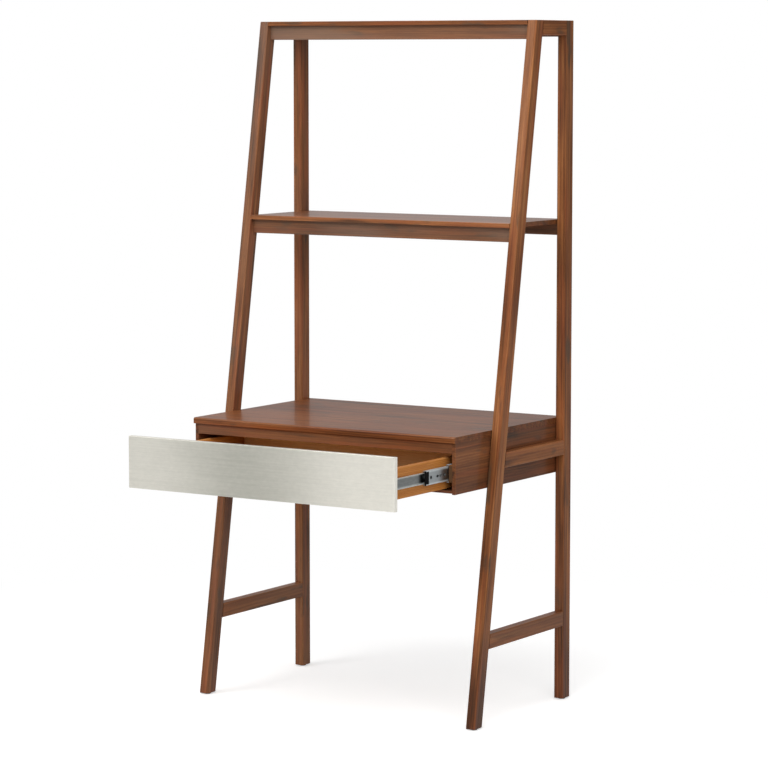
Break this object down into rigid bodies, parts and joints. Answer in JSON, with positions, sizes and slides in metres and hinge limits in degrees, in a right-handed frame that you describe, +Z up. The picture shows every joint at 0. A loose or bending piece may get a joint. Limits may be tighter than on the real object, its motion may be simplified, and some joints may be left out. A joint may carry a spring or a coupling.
{
  "type": "ladder desk",
  "caption": "Free-standing ladder desk: leaning front posts, upright rear posts, open shelves above a desk top, and a metal-faced drawer on telescopic slides.",
  "frame": {"origin": "on the floor, in the middle of the width and of the depth with the drawer open as stored", "axes": "+Z up, +X to the right of a person facing the desk, the front and the drawer face -Y"},
  "size_m": [0.864, 0.837, 1.803],
  "materials": {
    "walnut": "satin reddish-brown stained wood",
    "drawer_wood": "clear-lacquered lighter wood",
    "dowel_wood": "raw",
    "core_board": "raw board",
    "zinc": "zinc plated",
    "steel": "plated",
    "brushed_skin": "fine horizontal brushing",
    "black_plastic": "moulded"
  },
  "bodies": {
    "desk_frame": {"apron_dowels": "dowel_wood", "box_back": "walnut", "box_bolts": "steel", "box_bottom": "walnut", "box_dowels": "dowel_wood", "box_front_rail": "walnut", "box_washers": "steel", "cabinet_screws": "steel", "cam_bolts": "steel", "cam_nuts": "steel", "cleat_screws": "steel", "desk_top": "walnut", "foot_glides": "black_plastic", "left_box_side": "walnut", "left_cabinet_member": "zinc", "left_desk_rail": "walnut", "left_foot_rail": "walnut", "left_front_post": "walnut", "left_rear_post": "walnut", "left_slide_spacer": "drawer_wood", "left_top_cleat": "walnut", "left_top_rail": "walnut", "middle_front_apron": "walnut", "middle_rear_apron": "walnut", "middle_shelf": "walnut", "right_box_side": "walnut", "right_cabinet_member": "zinc", "right_desk_rail": "walnut", "right_foot_rail": "walnut", "right_front_post": "walnut", "right_rear_post": "walnut", "right_slide_spacer": "drawer_wood", "right_top_cleat": "walnut", "right_top_rail": "walnut", "shelf_screws": "steel", "thread_inserts": "steel", "top_front_apron": "walnut", "top_rear_apron": "walnut", "top_shelf": "walnut"},
    "drawer": {"left_drawer_member": "zinc", "right_drawer_member": "zinc", "drawer_screws": "steel", "left_drawer_side": "drawer_wood", "right_drawer_side": "drawer_wood", "drawer_sub_front": "drawer_wood", "drawer_back": "drawer_wood", "drawer_bottom": "drawer_wood", "drawer_dowels": "dowel_wood", "drawer_front_core": "core_board", "drawer_front_skin": "brushed_skin", "front_screws": "steel"},
    "slide_middles": {"left_middle_member": "zinc", "right_middle_member": "zinc", "middle_bumpers": "black_plastic"},
    "outer_cages": {"left_outer_cage": "zinc", "right_outer_cage": "zinc", "outer_balls": "steel"},
    "inner_cages": {"left_inner_cage": "zinc", "right_inner_cage": "zinc", "inner_balls": "steel"}
  },
  "joints": [
    {"name": "drawer_slide", "type": "slide", "parent": "desk_frame", "child": "drawer", "axis": [0, -1, 0], "range_m": [-0.275, 0.175]},
    {"name": "middle_slide", "type": "slide", "parent": "desk_frame", "child": "slide_middles", "axis": [0, -1, 0], "range_m": [-0.1375, 0.0875]},
    {"name": "outer_cage_slide", "type": "slide", "parent": "desk_frame", "child": "outer_cages", "axis": [0, -1, 0], "range_m": [-0.06875, 0.04375]},
    {"name": "inner_cage_slide", "type": "slide", "parent": "desk_frame", "child": "inner_cages", "axis": [0, -1, 0], "range_m": [-0.20625, 0.13125]}
  ],
  "couplings": [
    {"joint": "middle_slide", "follows": "drawer_slide", "ratio": 0.5},
    {"joint": "outer_cage_slide", "follows": "drawer_slide", "ratio": 0.25},
    {"joint": "inner_cage_slide", "follows": "drawer_slide", "ratio": 0.75}
  ]
}
